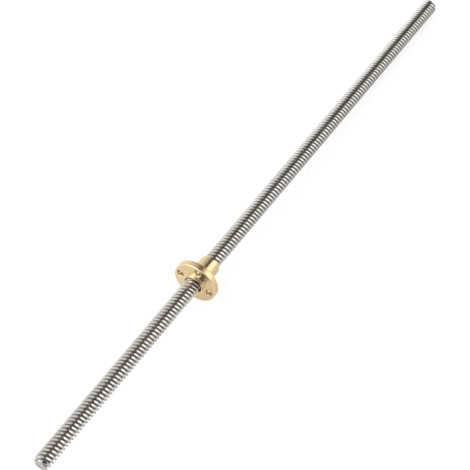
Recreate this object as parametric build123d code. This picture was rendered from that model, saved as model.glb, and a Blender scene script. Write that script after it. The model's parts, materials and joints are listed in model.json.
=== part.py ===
"""Trapezoidal lead screw with its flanged brass nut, lying at rest on a flat surface.

The screw is one steel rod with a four-start right-hand thread rolled along its whole
length and a turned chamfer at each end. The nut is turned from one piece of brass: a
short collar, a round flange with four bolt holes, a barrel and a bore through them all.
Rod and bore stop at the cylinder over the thread's crests, where the two run in each
other.

The pieces are made about the screw's own axis, with X along it from the near end, and
then lie as they come to rest: on the rim of the flange and on the rod's far end.
"""
import os
from math import atan2, cos, degrees, sin

from build123d import *

# Screw
screw_length = 350.0
crest_diameter = 8.0
end_chamfer_length = 1.4
end_chamfer_depth = 1.1

# Nut, from the collar's face at nut_position towards the far end
nut_position = 115.4
collar_length = 1.5
flange_thickness = 3.5
barrel_length = 10.0
barrel_wall = 1.05
thread_clearance = 0.05
bore_countersink = 0.35
collar_chamfer = 0.15
flange_chamfer = 0.3
barrel_chamfer = 0.4

# Bolt holes in the flange, between the barrel and the rim
bolt_hole_diameter = 3.5
bolt_hole_count = 4
bolt_hole_chamfer = 0.2
wall_inside_holes = 1.15
wall_outside_holes = 1.25
first_hole_angle = 14.5

crest_radius = crest_diameter / 2
bore_radius = crest_radius + thread_clearance
barrel_radius = bore_radius + barrel_wall
bolt_hole_radius = bolt_hole_diameter / 2
bolt_circle_radius = barrel_radius + wall_inside_holes + bolt_hole_radius
flange_radius = bolt_circle_radius + bolt_hole_radius + wall_outside_holes
flange_front = nut_position + collar_length
flange_back = flange_front + flange_thickness
nut_end = flange_back + barrel_length


def make_screw():
    """Rod over the thread's crests, its outline turned about the X axis."""
    end_radius = crest_radius - end_chamfer_depth
    outline = Polyline(
        (0, 0),
        (0, end_radius),
        (end_chamfer_length, crest_radius),
        (screw_length - end_chamfer_length, crest_radius),
        (screw_length, end_radius),
        (screw_length, 0),
        close=True,
    )
    return revolve(make_face(outline), Axis.X)


def make_turned_nut():
    """Collar, flange and barrel as one turned blank, bored for the screw."""
    outline = Polyline(
        (nut_position, bore_radius + bore_countersink),
        (nut_position, barrel_radius - collar_chamfer),
        (nut_position + collar_chamfer, barrel_radius),
        (flange_front, barrel_radius),
        (flange_front, flange_radius - flange_chamfer),
        (flange_front + flange_chamfer, flange_radius),
        (flange_back - flange_chamfer, flange_radius),
        (flange_back, flange_radius - flange_chamfer),
        (flange_back, barrel_radius),
        (nut_end - barrel_chamfer, barrel_radius),
        (nut_end, barrel_radius - barrel_chamfer),
        (nut_end, bore_radius + bore_countersink),
        (nut_end - bore_countersink, bore_radius),
        (nut_position + bore_countersink, bore_radius),
        close=True,
    )
    return revolve(make_face(outline), Axis.X)


def make_bolt_hole_drill():
    """Drill for one bolt hole at its place, with both mouths of the hole broken."""
    mouth_radius = bolt_hole_radius + bolt_hole_chamfer
    outline = Polyline(
        (flange_front, 0),
        (flange_front, mouth_radius),
        (flange_front + bolt_hole_chamfer, bolt_hole_radius),
        (flange_back - bolt_hole_chamfer, bolt_hole_radius),
        (flange_back, mouth_radius),
        (flange_back, 0),
        close=True,
    )
    return Pos(0, bolt_circle_radius, 0) * revolve(make_face(outline), Axis.X)


def make_nut():
    """Turned nut with its bolt holes, evenly spaced from the first one."""
    nut = make_turned_nut()
    drill = make_bolt_hole_drill()
    step = 360 / bolt_hole_count
    for index in range(bolt_hole_count):
        nut -= drill.rotate(Axis.X, first_hole_angle + index * step)
    return nut


def rest_place():
    """Place of the screw's axis when flange rim and far end touch the surface.

    The middle of the screw stands over the origin.
    """
    flange_contact = flange_back - flange_chamfer
    end_contact = screw_length - end_chamfer_length
    lean = atan2(flange_radius - crest_radius, end_contact - flange_contact)
    near_end_height = flange_contact * sin(lean) + flange_radius * cos(lean)
    near_end_x = -screw_length / 2 * cos(lean)
    return Pos(near_end_x, 0, near_end_height) * Rot(0, degrees(lean), 0)


place = rest_place()
pieces = {
    "lead_screw": make_screw(),
    "flanged_nut": make_nut(),
}
os.makedirs("parts", exist_ok=True)
for name, piece in pieces.items():
    export_step(place * piece, f"parts/{name}.step")
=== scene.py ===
import json
import math

import bmesh
import bpy
from mathutils import Matrix, Quaternion, Vector


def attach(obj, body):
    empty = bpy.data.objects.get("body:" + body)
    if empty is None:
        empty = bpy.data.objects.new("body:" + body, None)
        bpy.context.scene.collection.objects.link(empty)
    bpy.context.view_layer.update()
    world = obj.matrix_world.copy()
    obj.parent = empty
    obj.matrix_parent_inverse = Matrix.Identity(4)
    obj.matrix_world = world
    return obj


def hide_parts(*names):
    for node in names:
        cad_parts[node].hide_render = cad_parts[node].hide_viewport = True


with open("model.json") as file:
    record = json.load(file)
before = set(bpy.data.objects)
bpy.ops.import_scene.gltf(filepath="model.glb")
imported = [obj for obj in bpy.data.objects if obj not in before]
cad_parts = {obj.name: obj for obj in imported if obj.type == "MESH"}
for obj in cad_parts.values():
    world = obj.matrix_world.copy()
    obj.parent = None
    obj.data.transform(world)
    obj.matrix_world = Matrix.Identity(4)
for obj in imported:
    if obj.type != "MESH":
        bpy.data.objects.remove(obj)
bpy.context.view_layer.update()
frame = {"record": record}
scene = bpy.context.scene
scene.view_settings.view_transform = "Standard"

# Camera
# A long lens looks down from beside the near end, so that the rod runs from the lower
# left corner to the upper right one and the nut turns its front face to the lens. A
# slight roll brings the rod's edges onto that line.
camera_data = bpy.data.cameras.new("studio_camera")
camera_data.lens = 118.04
camera_data.sensor_width = 36.0
camera = bpy.data.objects.new("studio_camera", camera_data)
camera.location = (-0.414018, -0.248596, 0.569907)
line_of_sight = Vector((0.537783, 0.342181, -0.770518))
camera_roll = Quaternion((0, 0, 1), math.radians(-0.087))
camera.rotation_euler = (line_of_sight.to_track_quat("-Z", "Y") @ camera_roll).to_euler()
scene.collection.objects.link(camera)
scene.camera = camera


# Table top
# A wide sheet of plain white laminate that the part lies on. It takes a soft shadow, and
# its white also shows in the polished metal.
def add(tree, kind, sockets=None, **settings):
    """Adds a node, with its sockets linked to other nodes' outputs or set to plain values."""
    made = tree.nodes.new(kind)
    for name, value in settings.items():
        setattr(made, name, value)
    for name, value in (sockets or {}).items():
        if isinstance(value, bpy.types.NodeSocket):
            tree.links.new(value, made.inputs[name])
        else:
            made.inputs[name].default_value = value
    return made


def maths(tree, operation, first, second=0.0, third=0.0, clamp=False):
    """Output of a math node."""
    return add(tree, "ShaderNodeMath", {0: first, 1: second, 2: third},
               operation=operation, use_clamp=clamp).outputs[0]


def graded(tree, value, start, end, first=0.0, last=1.0):
    """Goes evenly from first to last while the given value goes from start to end."""
    return add(tree, "ShaderNodeMapRange", {
        "Value": value, "From Min": start, "From Max": end,
        "To Min": first, "To Max": last}).outputs[0]


def new_material(name):
    """Empty node material with its output node."""
    material = bpy.data.materials.new(name)
    material.use_nodes = True
    material.node_tree.nodes.clear()
    return material, material.node_tree, add(material.node_tree, "ShaderNodeOutputMaterial")


table_half_side = 8.0
table_color = (0.52, 0.52, 0.52, 1)
glow_for_lens = 0.72
# The table's glow in metal has painted shade in front of the rod and painted light behind its far half.
shaded_glow_in_front = 0.48
glow_behind = 0.64
glow_change = 0.01
painted_light_far_off = 0.3
far_half_starts = 0.03
far_half_full = 0.12
# Depth and width of the painted shadow of the rod in the table's glow.
painted_shadow_depth = 0.22
painted_shadow_core = 0.006
painted_shadow_edge = 0.02
nut_surround = 0.018
clear_of_nut = 0.026
laminate, tree, output = new_material("white_laminate")
shade = add(tree, "ShaderNodeBsdfDiffuse", {"Color": table_color, "Roughness": 0.3})
path = add(tree, "ShaderNodeLightPath").outputs
place = add(tree, "ShaderNodeTexCoord").outputs["Object"]
place = add(tree, "ShaderNodeSeparateXYZ", {0: place}).outputs
# Metal shows the table dimmer in front of the rod than behind it, as painted shade.
glow_in_metal = graded(tree, place["Y"], -glow_change, glow_change, shaded_glow_in_front, glow_behind)
# Behind the rod's far half the table shows whiter in metal, as painted light.
painted_light_behind_rod = graded(tree, place["Y"], 0.0, glow_change, 0.0, painted_light_far_off)
far_half = graded(tree, place["X"], far_half_starts, far_half_full)
glow_in_metal = maths(tree, "MULTIPLY_ADD", painted_light_behind_rod, far_half, glow_in_metal)
# Metal also shows a painted shadow of the rod, a dim strip of table under it, which ends on both sides
# of the nut.
mounts = {mount["name"]: Vector(mount["pos_m"]) for mount in frame["record"]["mounts"]}
nut_place = mounts["flange_bolts"].x
from_rod = maths(tree, "ABSOLUTE", place["Y"])
painted_shadow_across = graded(tree, from_rod, painted_shadow_core, painted_shadow_edge, painted_shadow_depth, 0.0)
from_nut = maths(tree, "ABSOLUTE", maths(tree, "SUBTRACT", place["X"], nut_place))
off_nut = graded(tree, from_nut, nut_surround, clear_of_nut)
painted_shadow_strip = maths(tree, "MULTIPLY", painted_shadow_across, off_nut)
glow_in_metal = maths(tree, "SUBTRACT", glow_in_metal, painted_shadow_strip)
in_metal = maths(tree, "MAXIMUM", path["Is Glossy Ray"], path["Is Transmission Ray"])
glow_level = maths(tree, "MULTIPLY", in_metal, glow_in_metal)
glow_level = maths(tree, "MULTIPLY_ADD", path["Is Camera Ray"], glow_for_lens, glow_level)
glow = add(tree, "ShaderNodeEmission", {"Color": (1, 1, 1, 1), "Strength": glow_level})
both = add(tree, "ShaderNodeAddShader", {0: shade.outputs[0], 1: glow.outputs[0]})
tree.links.new(both.outputs[0], output.inputs["Surface"])

table_mesh = bpy.data.meshes.new("table_top")
corners = [Vector(corner) * table_half_side for corner in (
    (-1, -1, 0), (1, -1, 0), (1, 1, 0), (-1, 1, 0))]
table_mesh.from_pydata(corners, [], [(0, 1, 2, 3)])
table_mesh.materials.append(laminate)
table_top = bpy.data.objects.new("table_top", table_mesh)
scene.collection.objects.link(table_top)


# Studio light
# A white tent lights the part evenly, with a softbox on each side. A paper graded from
# white to black bends over the rod and draws the dark line along bright metal, and a dark
# cloth stands on the lens's side. The lens sees none of them directly.
def seen_directly(tree):
    """1 where the lens sees a surface, or sees it in metal or through glass, and 0 elsewhere."""
    path = add(tree, "ShaderNodeLightPath").outputs
    either = maths(tree, "MAXIMUM", path["Is Camera Ray"], path["Is Glossy Ray"])
    return maths(tree, "MAXIMUM", either, path["Is Transmission Ray"])


tent_light = 0.85
tent_white = 1.0
room = bpy.data.worlds.new("light_tent")
room.use_nodes = True
tree = room.node_tree
tree.nodes.clear()
output = add(tree, "ShaderNodeOutputWorld")
tent_level = graded(tree, seen_directly(tree), 0.0, 1.0, tent_light, tent_white)
tent = add(tree, "ShaderNodeBackground", {"Color": (1, 1, 1, 1), "Strength": tent_level})
tree.links.new(tent.outputs[0], output.inputs["Surface"])
scene.world = room


def hang_softbox(name, place, aim, width, height, power, color):
    """Soft rectangular lamp at a place, facing the aim point."""
    lamp = bpy.data.lights.new(name, "AREA")
    lamp.color = color
    lamp.shape = "RECTANGLE"
    lamp.size = width
    lamp.size_y = height
    lamp.energy = power
    box = bpy.data.objects.new(name, lamp)
    box.location = place
    box.rotation_euler = (Vector(aim) - Vector(place)).to_track_quat("-Z", "Y").to_euler()
    box.visible_camera = False
    scene.collection.objects.link(box)


warm_white = (1, 0.94, 0.84)
plain_white = (1, 1, 1)
hang_softbox("softbox_right", place=(0.6, -1.3, 0.95), aim=(0.1, 0, 0),
             width=1.7, height=1.2, power=4.4, color=warm_white)
hang_softbox("softbox_left", place=(-0.7, 0.7, 0.98), aim=(0, 0, 0),
             width=1.2, height=1.2, power=5.5, color=plain_white)


def mixed(tree, share, first, second):
    """Colour between two, by the share of the second."""
    return add(tree, "ShaderNodeMix", {0: share, 6: first, 7: second}, data_type="RGBA").outputs[2]


paper_strength = 1.8
graded_paper, tree, output = new_material("graded_paper")
on_paper = add(tree, "ShaderNodeTexCoord").outputs["UV"]
on_paper = add(tree, "ShaderNodeSeparateXYZ", {0: on_paper}).outputs
# Each shade of the paper is given as its height on the paper and its grey level.
near_shades = [
    (0.0, 0.015), (0.1, 0.02), (0.2, 0.1), (0.28, 0.3),
    (0.38, 0.56), (0.53, 0.48), (0.68, 0.34), (1.0, 0.32)]
far_shades = [(0.0, 0.01), (0.29, 0.01), (0.45, 0.08), (0.6, 0.46), (0.78, 1.0), (1.0, 1.0)]
# The dark shades have a faint brown tint.
tinted_below = 0.35
tint = Vector((0.014, 0.005, 0.0))
levels = []
for stops in (near_shades, far_shades):
    ramp = add(tree, "ShaderNodeValToRGB", {0: on_paper["Y"]})
    while len(ramp.color_ramp.elements) < len(stops):
        ramp.color_ramp.elements.new(0.5)
    for element, (stop, level) in zip(ramp.color_ramp.elements, stops):
        element.position = stop
        shade = Vector((level, level, level))
        if level < tinted_below:
            shade += tint
        element.color = (*shade, 1)
    levels.append(ramp.outputs[0])
paper_shade = mixed(tree, on_paper["X"], *levels)
paper = add(tree, "ShaderNodeEmission", {"Color": paper_shade, "Strength": paper_strength})
tree.links.new(paper.outputs[0], output.inputs["Surface"])

# Each column of the paper has its place along X, its share of the far shades and the
# angle at which its dark edge ends.
arch_columns = [
    (-0.12, 0.0, 120.5), (0.1, 0.0, 118.5), (0.35, 0.33, 109.0),
    (0.62, 0.7, 109.0), (0.85, 1.0, 115.0), (1.8, 1.0, 120.0)]
arch_radius = 0.7
arch_lift = 0.01
arch_rows = 32
arch = bmesh.new()
arch_uv = arch.loops.layers.uv.new("across")
arch_points = []
for x, share, edge in arch_columns:
    column = []
    for row in range(arch_rows + 1):
        height = row / arch_rows
        angle = math.radians(edge * (1 - height))
        corner = (x, arch_radius * math.cos(angle), arch_radius * math.sin(angle) + arch_lift)
        column.append((corner, (share, height)))
    arch_points.append(column)
for left, right in zip(arch_points, arch_points[1:]):
    for row in range(arch_rows):
        quad = [left[row], right[row], right[row + 1], left[row + 1]]
        panel = arch.faces.new([arch.verts.new(corner) for corner, uv in quad])
        for loop, (corner, uv) in zip(panel.loops, quad):
            loop[arch_uv].uv = uv
arch_mesh = bpy.data.meshes.new("graded_arch")
arch.to_mesh(arch_mesh)
arch.free()
arch_mesh.materials.append(graded_paper)
graded_arch = bpy.data.objects.new("graded_arch", arch_mesh)
graded_arch.visible_camera = False
scene.collection.objects.link(graded_arch)

cloth_glow = 0.05
dark_cloth, tree, output = new_material("dark_cloth")
cloth = add(tree, "ShaderNodeEmission", {"Color": (1, 1, 1, 1), "Strength": cloth_glow})
tree.links.new(cloth.outputs[0], output.inputs["Surface"])
# The cloth is bent round the X axis, in strips of four degrees down to the table.
drape_radius = 0.9
drape_lift = 0.002
drape_ends = (-2.2, -0.3)
drape_angles = range(112, 181, 4)
drape_points = []
for degrees in drape_angles:
    angle = math.radians(degrees)
    y = drape_radius * math.cos(angle)
    z = drape_radius * math.sin(angle) + drape_lift
    drape_points.extend((x, y, z) for x in drape_ends)
drape_mesh = bpy.data.meshes.new("camera_drape")
drape_mesh.from_pydata(drape_points, [], [
    (row, row + 1, row + 3, row + 2) for row in range(0, len(drape_points) - 2, 2)])
drape_mesh.materials.append(dark_cloth)
camera_drape = bpy.data.objects.new("camera_drape", drape_mesh)
camera_drape.visible_camera = False
scene.collection.objects.link(camera_drape)

# Lead screw
# One steel rod, 350 mm long. Its trapezoidal thread is rolled with four starts, two
# millimetres apart, and a lathe faces and chamfers both ends afterwards.
near_end = mounts["near_end_face"]
far_end = mounts["far_end_face"]
along = (far_end - near_end).normalized()
side = Vector((0, 1, 0))
rod_place = Matrix((along, side, along.cross(side))).transposed().to_4x4()
rod_place.translation = near_end

screw_length = (far_end - near_end).length
lead = 0.008
starts = 4
pitch = lead / starts
crest_radius = 0.004
root_radius = 0.00275
crest_width = 0.0009
crest_rounding = 0.0001
root_rounding = 0.00015
flank_angle = math.radians(15)
end_length = 0.0014
end_radius = 0.0029
steps_per_turn = 32
steps_per_end = 14
share_left_uncut = 0.9999
screw_sharp_angle = math.radians(50)


def thread_form(crest, root, width, crest_round, root_round):
    """Outline of one thread from one root to the next, as (place along the rod, radius)."""
    # Each corner is rounded in two steps. The point between them lies halfway from the
    # corner to the straight line that would cut it off.
    slope = Vector((math.sin(flank_angle), -math.cos(flank_angle)))
    level = Vector((1, 0))
    edge = Vector((width / 2, crest))
    foot = Vector((width / 2 + (crest - root) * math.tan(flank_angle), root))
    crest_cut = crest_round * math.tan((math.pi / 2 - flank_angle) / 2)
    root_cut = root_round * math.tan((math.pi / 2 - flank_angle) / 2)
    half = [
        edge - level * crest_cut,
        edge + (slope - level) * crest_cut / 4,
        edge + slope * crest_cut,
        foot - slope * root_cut,
        foot + (level - slope) * root_cut / 4,
        foot + level * root_cut,
        Vector((pitch / 2, root)),
    ]
    return [Vector((-x, y)) for x, y in reversed(half)] + [Vector((0, crest))] + half


def thread_tree():
    """Copies one thread's outline for each start and twists the round of them along the rod."""
    tree = bpy.data.node_groups.new("thread_run", "GeometryNodeTree")
    tree.is_modifier = True
    face = tree.interface
    face.new_socket("Thread Form", in_out="INPUT", socket_type="NodeSocketGeometry")
    for name in ("Lead", "Run Start", "Run Length", "End Length", "End Radius"):
        face.new_socket(name, in_out="INPUT", socket_type="NodeSocketFloat")
    for name in ("Starts", "Steps per Turn", "Steps per End"):
        face.new_socket(name, in_out="INPUT", socket_type="NodeSocketInt")
    face.new_socket("Metal", in_out="INPUT", socket_type="NodeSocketMaterial")
    face.new_socket("Thread", in_out="OUTPUT", socket_type="NodeSocketGeometry")
    given = add(tree, "NodeGroupInput").outputs

    def sums(operation, first, second=0.0, third=0.0):
        return maths(tree, operation, first, second, third)

    def position():
        here = add(tree, "GeometryNodeInputPosition").outputs[0]
        return add(tree, "ShaderNodeSeparateXYZ", {0: here}).outputs

    # The outline is bent round the axis, where one lead makes one turn.
    at = position()
    angle = sums("MULTIPLY", sums("DIVIDE", at["X"], given["Lead"]), -2 * math.pi)
    marked = given["Thread Form"]
    for name, value in (("radius_as_rolled", at["Y"]), ("from_crest", sums("ABSOLUTE", at["X"]))):
        marked = add(tree, "GeometryNodeStoreNamedAttribute", {
            "Geometry": marked, "Name": name, "Value": value}, data_type="FLOAT").outputs[0]
    bent = add(tree, "ShaderNodeCombineXYZ", {
        "X": sums("MULTIPLY", at["Y"], sums("COSINE", angle)),
        "Y": sums("MULTIPLY", at["Y"], sums("SINE", angle)), "Z": 0.0}).outputs[0]
    one_start = add(tree, "GeometryNodeSetPosition", {
        "Geometry": marked, "Position": bent}).outputs[0]
    start_points = add(tree, "GeometryNodeMeshLine", {
        "Count": given["Starts"], "Offset": (0, 0, 0)}).outputs[0]
    start_turn = sums("MULTIPLY", add(tree, "GeometryNodeInputIndex").outputs[0],
                      sums("DIVIDE", 2 * math.pi, given["Starts"]))
    start_turn = add(tree, "ShaderNodeCombineXYZ", {"Z": start_turn}).outputs[0]
    all_starts = add(tree, "GeometryNodeInstanceOnPoints", {
        "Points": start_points, "Instance": one_start, "Rotation": start_turn}).outputs[0]
    all_starts = add(tree, "GeometryNodeRealizeInstances", {"Geometry": all_starts}).outputs[0]
    joined = add(tree, "GeometryNodeMergeByDistance", {
        "Geometry": all_starts, "Distance": 1e-6}).outputs[0]
    section = add(tree, "GeometryNodeMeshToCurve", {"Mesh": joined}).outputs[0]

    # The path has short steps over each turned end and even ones between.
    turns = sums("DIVIDE", given["Run Length"], given["Lead"])
    middle_steps = sums("CEIL", sums("MULTIPLY", turns, given["Steps per Turn"]))
    all_steps = sums("ADD", middle_steps, sums("MULTIPLY", given["Steps per End"], 2.0))
    path = add(tree, "GeometryNodeMeshLine", {
        "Count": sums("ADD", all_steps, 1.0), "Offset": (0.001, 0, 0)}).outputs[0]
    path = add(tree, "GeometryNodeMeshToCurve", {"Mesh": path}).outputs[0]
    step = add(tree, "GeometryNodeInputIndex").outputs[0]
    last_end = sums("ADD", middle_steps, given["Steps per End"])
    middle_length = sums("SUBTRACT", given["Run Length"], sums("MULTIPLY", given["End Length"], 2.0))
    place = given["Run Start"]
    for first, last, length in (
        (0.0, given["Steps per End"], given["End Length"]),
        (given["Steps per End"], last_end, middle_length),
        (last_end, all_steps, given["End Length"]),
    ):
        place = sums("ADD", place, graded(tree, step, first, last, 0.0, length))
    place = add(tree, "ShaderNodeCombineXYZ", {"X": place}).outputs[0]
    path = add(tree, "GeometryNodeSetPosition", {"Geometry": path, "Position": place}).outputs[0]
    at = position()
    twist = sums("MULTIPLY", sums("DIVIDE", at["X"], given["Lead"]), 2 * math.pi)
    path = add(tree, "GeometryNodeSetCurveTilt", {"Curve": path, "Tilt": twist}).outputs[0]
    rod = add(tree, "GeometryNodeCurveToMesh", {
        "Curve": path, "Profile Curve": section, "Fill Caps": True}).outputs[0]

    # The turned cone at each end cuts the thread down.
    at = position()
    from_start = sums("SUBTRACT", at["X"], given["Run Start"])
    from_end = sums("SUBTRACT", given["Run Length"], from_start)
    to_end = sums("MAXIMUM", sums("MINIMUM", from_start, from_end), 0.0)
    radius = sums("MULTIPLY_ADD", at["Y"], at["Y"], sums("MULTIPLY", at["Z"], at["Z"]))
    radius = sums("SQRT", radius)
    cone = graded(tree, to_end, 0.0, given["End Length"], given["End Radius"], crest_radius)
    cut = sums("MINIMUM", sums("DIVIDE", cone, radius), 1.0)
    is_end = sums("LESS_THAN", to_end, given["End Length"])
    kept = add(tree, "ShaderNodeMix", {2: 1.0, 3: cut, 0: is_end}).outputs[0]
    was_cut = sums("LESS_THAN", kept, share_left_uncut)
    rod = add(tree, "GeometryNodeStoreNamedAttribute", {
        "Geometry": rod, "Name": "cut_on_lathe", "Value": was_cut}, data_type="FLOAT").outputs[0]
    turned_down = add(tree, "ShaderNodeCombineXYZ", {
        "X": at["X"],
        "Y": sums("MULTIPLY", at["Y"], kept),
        "Z": sums("MULTIPLY", at["Z"], kept)}).outputs[0]
    rod = add(tree, "GeometryNodeSetPosition", {"Geometry": rod, "Position": turned_down}).outputs[0]
    rod = add(tree, "GeometryNodeRealizeInstances", {"Geometry": rod}).outputs[0]
    rod = add(tree, "GeometryNodeSetMaterial", {
        "Geometry": rod, "Material": given["Metal"]}).outputs[0]
    add(tree, "NodeGroupOutput", {"Thread": rod})
    return tree


def cut_thread(name, outline, values):
    """Mesh of a thread from one thread's outline and the tree's named sizes."""
    form = bpy.data.meshes.new(name)
    edges = [(index, index + 1) for index in range(len(outline) - 1)]
    form.from_pydata([(x, y, 0) for x, y in outline], edges, [])
    blank = bpy.data.objects.new(name, form)
    scene.collection.objects.link(blank)
    modifier = blank.modifiers.new("thread_run", "NODES")
    modifier.node_group = thread_run
    for socket in thread_run.interface.items_tree:
        if socket.item_type == "SOCKET" and socket.in_out == "INPUT" and socket.name in values:
            modifier[socket.identifier] = values[socket.name]
    evaluated = blank.evaluated_get(bpy.context.evaluated_depsgraph_get())
    made = bpy.data.meshes.new_from_object(evaluated)
    bpy.data.objects.remove(blank)
    made.name = name
    return made


def shader_group(name, inputs, outputs):
    """Empty shader node group with named sockets, each given as (name, kind)."""
    tree = bpy.data.node_groups.new(name, "ShaderNodeTree")
    for direction, sockets in (("INPUT", inputs), ("OUTPUT", outputs)):
        for socket, kind in sockets:
            tree.interface.new_socket(socket, in_out=direction, socket_type="NodeSocket" + kind)
    return tree, add(tree, "NodeGroupInput").outputs


def placed(tree, group, values):
    """Outputs of a shader node group placed in a material with its own values."""
    return add(tree, "ShaderNodeGroup", values, node_tree=group).outputs


def film_and_shade_group():
    """Oil film with fine metal dust in the grooves, deepened by painted shade, which leaves the open
    metal bright.
    """
    tree, given = shader_group("groove_film_and_shade", [
        ("Place", "Vector"), ("Radius", "Float"), ("Clean Radius", "Float"), ("Full Radius", "Float"),
        ("Metal Color", "Color"), ("Dark Color", "Color"), ("Patchiness", "Float")],
        [("Color", "Color"), ("Film And Shade", "Float")])
    patches = add(tree, "ShaderNodeTexNoise", {
        "Vector": given["Place"], "Scale": 900.0, "Detail": 3.0}).outputs[0]
    swing = maths(tree, "MULTIPLY", maths(tree, "SUBTRACT", patches, 0.5), given["Patchiness"])
    depth = graded(tree, given["Radius"], given["Clean Radius"], given["Full Radius"])
    film_and_shade = maths(tree, "MULTIPLY", depth, maths(tree, "ADD", swing, 1.0), clamp=True)
    color = mixed(tree, film_and_shade, given["Metal Color"], given["Dark Color"])
    add(tree, "NodeGroupOutput", {"Color": color, "Film And Shade": film_and_shade})
    return tree


def marks_group():
    """Fine lines that a lathe tool or a rolling die leaves, at uneven distances and depths."""
    tree, given = shader_group("tool_marks", [
        ("Place", "Vector"), ("Across", "Float"), ("Spacing", "Float"), ("Waver", "Float")],
        [("Height", "Float"), ("Streak", "Float")])
    slow = add(tree, "ShaderNodeTexNoise", {
        "Vector": given["Place"], "Scale": 260.0, "Detail": 2.0}).outputs[0]
    waver = maths(tree, "MULTIPLY", maths(tree, "SUBTRACT", slow, 0.5), given["Waver"])
    line = maths(tree, "DIVIDE", maths(tree, "ADD", given["Across"], waver), given["Spacing"])
    fine = add(tree, "ShaderNodeTexNoise", {
        "W": line, "Scale": 1.0, "Detail": 2.0}, noise_dimensions="1D").outputs[0]
    broad = add(tree, "ShaderNodeTexNoise", {
        "W": line, "Scale": 0.17, "Detail": 1.0}, noise_dimensions="1D").outputs[0]
    add(tree, "NodeGroupOutput", {"Height": fine, "Streak": broad})
    return tree


def mottle_group():
    """Faint cloudy change of a metal's colour, from one tone to another, with its mask."""
    tree, given = shader_group("cloudy_tone", [
        ("Place", "Vector"), ("Size", "Float"), ("First Color", "Color"), ("Second Color", "Color")],
        [("Color", "Color"), ("Cloud", "Float")])
    clouds = add(tree, "ShaderNodeTexNoise", {
        "Vector": given["Place"], "Scale": maths(tree, "DIVIDE", 1.0, given["Size"]), "Detail": 4.0,
        "Roughness": 0.6}).outputs[0]
    spread = graded(tree, clouds, 0.3, 0.7)
    color = mixed(tree, spread, given["First Color"], given["Second Color"])
    add(tree, "NodeGroupOutput", {"Color": color, "Cloud": spread})
    return tree


def in_rod_frame(tree):
    """Place on a piece, measured from the middle of the rod's near end along the rod."""
    back = rod_place.inverted()
    return add(tree, "ShaderNodeMapping", {
        "Vector": add(tree, "ShaderNodeTexCoord").outputs["Object"],
        "Location": back.to_translation(), "Rotation": back.to_euler()}).outputs[0]


def rod_radius(tree, place):
    """Distance of a place from the middle of the rod."""
    at = add(tree, "ShaderNodeSeparateXYZ", {0: place}).outputs
    flat = add(tree, "ShaderNodeCombineXYZ", {"Y": at["Y"], "Z": at["Z"]}).outputs[0]
    return add(tree, "ShaderNodeVectorMath", {0: flat}, operation="LENGTH").outputs["Value"]


groove_film_and_shade = film_and_shade_group()
tool_marks = marks_group()
cloudy_tone = mottle_group()

steel_pale = (0.71, 0.683, 0.65, 1)
steel_grey = (0.645, 0.622, 0.59, 1)
# Colours of the oil film in the grooves, with painted shade, darkest at the far end.
film_and_shade_near_end = (0.29, 0.245, 0.23, 1)
film_and_shade_far_end = (0.19, 0.16, 0.15, 1)
seam_color = (0.3, 0.27, 0.24, 1)
faced_pale = (0.66, 0.655, 0.64, 1)
faced_grey = (0.58, 0.575, 0.56, 1)
# The far end's thicker, darker film is painted shade.
film_and_shade_deepen_from = 0.08
film_and_shade_deepen_to = 0.22
film_and_shade_edge_radius = 0.0037
film_and_shade_edge_rise = 0.0003
seam_core = 0.00002
seam_edge = 0.00006
seam_strength = 0.5
open_roughness = 0.11
film_roughness = 0.4
cloud_roughness = 0.08
streak_roughness = 0.05
rolled_steel, tree, output = new_material("rolled_steel")
place = in_rod_frame(tree)
as_rolled = add(tree, "ShaderNodeAttribute", attribute_name="radius_as_rolled").outputs["Fac"]
from_crest = add(tree, "ShaderNodeAttribute", attribute_name="from_crest").outputs["Fac"]
on_lathe = add(tree, "ShaderNodeAttribute", attribute_name="cut_on_lathe").outputs["Fac"]
tone = placed(tree, cloudy_tone, {
    "Place": place, "Size": 0.004, "First Color": steel_pale, "Second Color": steel_grey})
along_rod = add(tree, "ShaderNodeSeparateXYZ", {0: place}).outputs["X"]
# The film grows thicker and darker towards the far end; this change is painted shade.
deeper_film_and_shade = graded(tree, along_rod, film_and_shade_deepen_from, film_and_shade_deepen_to)
film_and_shade_edge = maths(tree, "MULTIPLY_ADD", deeper_film_and_shade, film_and_shade_edge_rise, film_and_shade_edge_radius)
film_and_shade_color = mixed(tree, deeper_film_and_shade, film_and_shade_near_end, film_and_shade_far_end)
film_and_shade = placed(tree, groove_film_and_shade, {
    "Place": place, "Radius": as_rolled, "Clean Radius": film_and_shade_edge, "Full Radius": 0.0028,
    "Metal Color": tone["Color"], "Dark Color": film_and_shade_color, "Patchiness": 0.8})
rolling = placed(tree, tool_marks, {
    "Place": place, "Across": from_crest, "Spacing": 0.00005, "Waver": 0.00008})
facing = placed(tree, tool_marks, {
    "Place": place, "Across": rod_radius(tree, place), "Spacing": 0.00009, "Waver": 0.00003})
# Rolling folds the metal into a fine seam along the middle of each crest.
seam = graded(tree, from_crest, seam_core, seam_edge, seam_strength, 0.0)
seam = maths(tree, "MULTIPLY", seam, tone["Cloud"])
seamed = mixed(tree, seam, film_and_shade["Color"], seam_color)
faced = mixed(tree, facing["Streak"], faced_pale, faced_grey)
color = mixed(tree, on_lathe, seamed, faced)
height = add(tree, "ShaderNodeMix", {
    0: on_lathe, 2: rolling["Height"], 3: facing["Height"]}).outputs[0]
grain = add(tree, "ShaderNodeBump", {
    "Height": height, "Strength": 1.0, "Distance": 0.0000035}).outputs[0]
dull = graded(tree, film_and_shade["Film And Shade"], 0.0, 1.0, open_roughness, film_roughness)
dull = maths(tree, "MULTIPLY_ADD", tone["Cloud"], cloud_roughness, dull)
dull = maths(tree, "MULTIPLY_ADD", rolling["Streak"], streak_roughness, dull)
steel = add(tree, "ShaderNodeBsdfPrincipled", {
    "Base Color": color, "Metallic": 1.0, "Roughness": dull, "Normal": grain})
tree.links.new(steel.outputs[0], output.inputs["Surface"])

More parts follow.
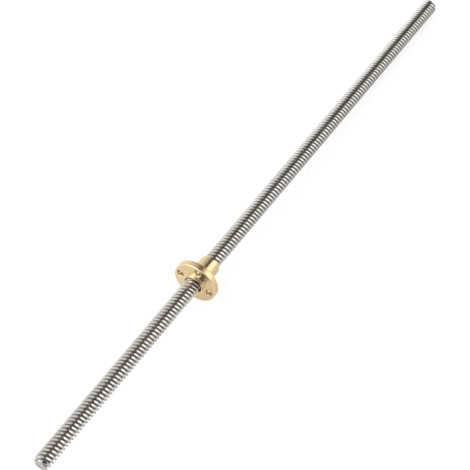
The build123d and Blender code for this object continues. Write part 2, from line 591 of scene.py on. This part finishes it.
thread_run = thread_tree()
screw_form = thread_form(crest_radius, root_radius, crest_width, crest_rounding, root_rounding)
screw_mesh = cut_thread("screw", screw_form, {
    "Lead": lead, "Starts": starts, "Run Start": 0.0, "Run Length": screw_length,
    "End Length": end_length, "End Radius": end_radius,
    "Steps per Turn": steps_per_turn, "Steps per End": steps_per_end, "Metal": rolled_steel})
screw_mesh.transform(rod_place)
screw_mesh.shade_smooth()
screw_mesh.set_sharp_from_angle(angle=screw_sharp_angle)
screw = bpy.data.objects.new("screw_rod", screw_mesh)
scene.collection.objects.link(screw)
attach(screw, "screw")
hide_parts("lead_screw")

# Nut
# One piece of brass, turned to a collar, a flange and a barrel, then drilled for four
# bolts and tapped right through. The turning tool leaves fine rings on every face.
collar_length = 0.0015
flange_thickness = 0.0035
barrel_length = 0.01
flange_middle = (mounts["flange_bolts"] - near_end).length
flange_front = flange_middle - flange_thickness / 2
flange_back = flange_middle + flange_thickness / 2
nut_front = flange_front - collar_length
nut_end = flange_back + barrel_length
barrel_radius = 0.0051
flange_radius = 0.011
collar_chamfer = 0.00015
flange_chamfer = 0.0003
barrel_chamfer = 0.0004
tap_minor_radius = 0.00325
tap_major_radius = 0.00425
tap_crest_width = 0.00086
tap_rounding = 0.0001
tap_root_radius = 0.003
mouth_radius = 0.0047
mouth_depth = mouth_radius - tap_minor_radius
exit_radius = 0.0044
exit_depth = exit_radius - tap_minor_radius
bolt_hole_count = 4
bolt_circle_radius = 0.008
bolt_hole_radius = 0.00175
bolt_hole_chamfer = 0.0002
first_hole_angle = math.radians(14.5)
steps_per_rounding = 3
nut_turning_steps = 144
drill_turning_steps = 48
nut_sharp_angle = math.radians(42)


def eased(corners):
    """Closed outline with each corner rounded by its own radius in a few short steps."""
    smooth = []
    for index, (place, radius, amount) in enumerate(corners):
        corner = Vector((place, radius))
        if amount == 0:
            smooth.append(corner)
            continue
        before = (Vector(corners[index - 1][:2]) - corner).normalized()
        after = (Vector(corners[(index + 1) % len(corners)][:2]) - corner).normalized()
        half = before.angle(after) / 2
        middle = corner + (before + after).normalized() * (amount / math.sin(half))
        first = corner + before * (amount / math.tan(half))
        last = corner + after * (amount / math.tan(half))
        turn = (last - middle).angle_signed(first - middle)
        for part in range(steps_per_rounding + 1):
            share = part / steps_per_rounding
            smooth.append(middle + Matrix.Rotation(turn * share, 2) @ (first - middle))
    return smooth


def turned(name, outline, steps):
    """Closed mesh of an outline, as (place along the rod, radius), turned about the rod."""
    shape = bmesh.new()
    rings = []
    angles = [2 * math.pi * step / steps for step in range(steps)]
    for place, radius in outline:
        if radius == 0:
            rings.append([shape.verts.new((place, 0, 0))] * steps)
        else:
            rings.append([
                shape.verts.new((place, radius * math.cos(angle), radius * math.sin(angle)))
                for angle in angles])
    for index in range(len(rings)):
        first = rings[index - 1]
        second = rings[index]
        for step in range(steps):
            corners = (first[step - 1], first[step], second[step], second[step - 1])
            # On the axis both corners are one point, which a face holds once.
            corners = list(dict.fromkeys(corners))
            if len(corners) > 2:
                shape.faces.new(corners)
    bmesh.ops.recalc_face_normals(shape, faces=shape.faces)
    made = bpy.data.meshes.new(name)
    shape.to_mesh(made)
    shape.free()
    return made


def cut_away(blank, name, tool_mesh):
    """Cuts a tool's shape out of the blank."""
    tool = bpy.data.objects.new(name, tool_mesh)
    scene.collection.objects.link(tool)
    tool.hide_render = True
    cut = blank.modifiers.new(name, "BOOLEAN")
    cut.operation = "DIFFERENCE"
    cut.solver = "EXACT"
    cut.object = tool
    return tool


brass_pale = (0.78, 0.59, 0.33, 1)
brass_deep = (0.72, 0.52, 0.27, 1)
ring_color = (0.8, 0.64, 0.39, 1)
# Colour of the painted highlight on the broken edges and the collar.
edge_highlight_color = (0.88, 0.76, 0.52, 1)
drilled_color = (0.68, 0.56, 0.4, 1)
bore_dark_color = (0.3, 0.2, 0.1, 1)
collar_blend = 0.0001
walls_within = 0.0021
walls_gone_by = 0.0023
rim_starts = 0.0106
rim_full = 0.0109
turned_roughness = 0.2
rim_roughness = 0.27
tone_roughness = 0.06
bore_roughness = 0.2
turned_brass, tree, output = new_material("turned_brass")
place = in_rod_frame(tree)
radius = rod_radius(tree, place)
along_rod = add(tree, "ShaderNodeSeparateXYZ", {0: place}).outputs["X"]
tone = placed(tree, cloudy_tone, {
    "Place": place, "Size": 0.0035, "First Color": brass_pale, "Second Color": brass_deep})
rings = placed(tree, tool_marks, {
    "Place": place, "Across": maths(tree, "ADD", along_rod, radius),
    "Spacing": 0.00007, "Waver": 0.00002})
ringed = mixed(tree, rings["Streak"], tone["Color"], ring_color)
# The slant is 1 on faces across the rod and 0 on those along it, and a broken edge lies between the two,
# which gets a painted highlight.
facing_out = add(tree, "ShaderNodeTexCoord").outputs["Normal"]
slant = add(tree, "ShaderNodeVectorMath", {
    0: facing_out, 1: along}, operation="DOT_PRODUCT").outputs["Value"]
slant = maths(tree, "ABSOLUTE", slant)
off_length = graded(tree, slant, 0.2, 0.5)
off_face = graded(tree, slant, 0.98, 0.88)
edge = maths(tree, "MULTIPLY", off_length, off_face)
# The collar gets the same painted highlight as the edges.
collar_end = flange_front - collar_blend
collar_highlight = graded(tree, along_rod, collar_end - collar_blend, collar_end, 1.0, 0.0)
highlighted = mixed(tree, maths(tree, "MAXIMUM", edge, collar_highlight), ringed, edge_highlight_color)
# The drilled walls of the bolt holes are greyer than the turned faces.
from_circle = maths(tree, "ABSOLUTE", maths(tree, "SUBTRACT", radius, bolt_circle_radius))
near_walls = graded(tree, from_circle, walls_gone_by, walls_within)
on_walls = graded(tree, slant, 0.3, 0.1)
walled = mixed(tree, maths(tree, "MULTIPLY", near_walls, on_walls), highlighted, drilled_color)
# The bore and its mouth turn dark brown inwards from just outside the mouth's rim.
film_and_shade = placed(tree, groove_film_and_shade, {
    "Place": place, "Radius": radius, "Clean Radius": 0.0048, "Full Radius": 0.0043,
    "Metal Color": walled, "Dark Color": bore_dark_color, "Patchiness": 0.8})
dull = graded(tree, radius, rim_starts, rim_full, turned_roughness, rim_roughness)
dull = maths(tree, "MULTIPLY_ADD", tone["Cloud"], tone_roughness, dull)
dull = maths(tree, "MULTIPLY_ADD", film_and_shade["Film And Shade"], bore_roughness, dull)
grain = add(tree, "ShaderNodeBump", {
    "Height": rings["Height"], "Strength": 1.0, "Distance": 0.000005}).outputs[0]
brass = add(tree, "ShaderNodeBsdfPrincipled", {
    "Base Color": film_and_shade["Color"], "Metallic": 1.0, "Roughness": dull, "Normal": grain})
tree.links.new(brass.outputs[0], output.inputs["Surface"])

# Each corner of the outline is given as its place along the rod, its radius and its own
# rounding.
nut_corners = [
    (nut_front, mouth_radius, 0.00005),
    (nut_front, barrel_radius - collar_chamfer, 0.00005),
    (nut_front + collar_chamfer, barrel_radius, 0.00005),
    (flange_front, barrel_radius, 0.00015),
    (flange_front, flange_radius - flange_chamfer, 0.0001),
    (flange_front + flange_chamfer, flange_radius, 0.0001),
    (flange_back - flange_chamfer, flange_radius, 0.0001),
    (flange_back, flange_radius - flange_chamfer, 0.0001),
    (flange_back, barrel_radius, 0.00025),
    (nut_end - barrel_chamfer, barrel_radius, 0.0001),
    (nut_end, barrel_radius - barrel_chamfer, 0.0001),
    (nut_end, exit_radius, 0.00005),
    (nut_end - exit_depth, tap_minor_radius, 0),
    (nut_front + mouth_depth, tap_minor_radius, 0)]
nut_blank = bpy.data.objects.new("nut_blank", turned("nut_blank", eased(nut_corners), nut_turning_steps))
scene.collection.objects.link(nut_blank)
nut_blank.data.materials.append(turned_brass)

drill_clear = 0.0003
drill_rounding = 0.00008
drill_mouth = bolt_hole_radius + bolt_hole_chamfer + drill_clear
drill_corners = [
    (flange_front - drill_clear, 0, 0),
    (flange_front - drill_clear, drill_mouth, 0),
    (flange_front + bolt_hole_chamfer, bolt_hole_radius, drill_rounding),
    (flange_back - bolt_hole_chamfer, bolt_hole_radius, drill_rounding),
    (flange_back + drill_clear, drill_mouth, 0),
    (flange_back + drill_clear, 0, 0)]
out_to_hole = Matrix.Translation((0, bolt_circle_radius, 0))
tools = []
for hole in range(bolt_hole_count):
    drill_mesh = turned("bolt_drill", eased(drill_corners), drill_turning_steps)
    round_rod = Matrix.Rotation(first_hole_angle + hole * 2 * math.pi / bolt_hole_count, 4, "X")
    drill_mesh.transform(round_rod @ out_to_hole)
    tools.append(cut_away(nut_blank, "bolt_drill", drill_mesh))
tap_clear = 0.001
tap_form = thread_form(tap_major_radius, tap_root_radius, tap_crest_width, tap_rounding, tap_rounding)
tap_mesh = cut_thread("tap", tap_form, {
    "Lead": lead, "Starts": starts, "Run Start": nut_front - tap_clear,
    "Run Length": nut_end - nut_front + 2 * tap_clear, "End Length": 0.0,
    "End Radius": tap_major_radius, "Steps per Turn": steps_per_turn, "Steps per End": 0})
tools.append(cut_away(nut_blank, "tap", tap_mesh))
evaluated = nut_blank.evaluated_get(bpy.context.evaluated_depsgraph_get())
nut_mesh = bpy.data.meshes.new_from_object(evaluated)
for used in tools + [nut_blank]:
    bpy.data.objects.remove(used)
nut_mesh.transform(rod_place)
nut_mesh.shade_smooth()
nut_mesh.set_sharp_from_angle(angle=nut_sharp_angle)
nut = bpy.data.objects.new("flanged_nut_turned", nut_mesh)
scene.collection.objects.link(nut)
even = nut.modifiers.new("even_faces", "WEIGHTED_NORMAL")
even.keep_sharp = True
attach(nut, "nut")
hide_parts("flanged_nut")
